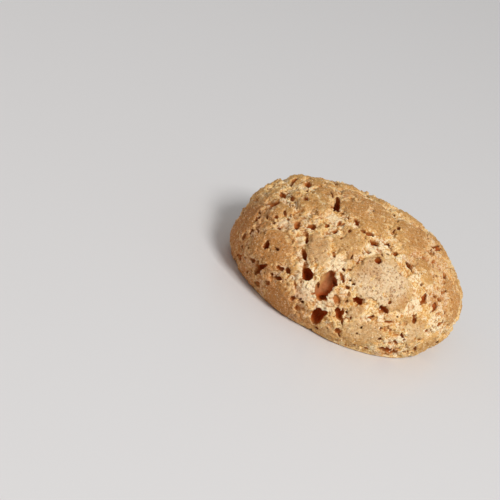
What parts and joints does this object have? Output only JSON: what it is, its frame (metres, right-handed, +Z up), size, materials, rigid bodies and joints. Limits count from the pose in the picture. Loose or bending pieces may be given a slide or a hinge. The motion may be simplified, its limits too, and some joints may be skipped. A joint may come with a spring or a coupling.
{
  "type": "amaretti cookie",
  "caption": "Low domed almond biscuit with a cracked, bubbly crust, smooth raised skin plates and a flat foot.",
  "frame": {"origin": "middle of the flat foot", "axes": "+Z up out of the dome, +X along the longest side, -Y towards the side with the largest burst bubbles"},
  "size_m": [0.0406, 0.0384, 0.0169],
  "materials": {
    "crust": "matt golden baked crust with paler crumb"
  },
  "bodies": {
    "root": {"amaretti_cookie": "crust"}
  },
  "joints": []
}
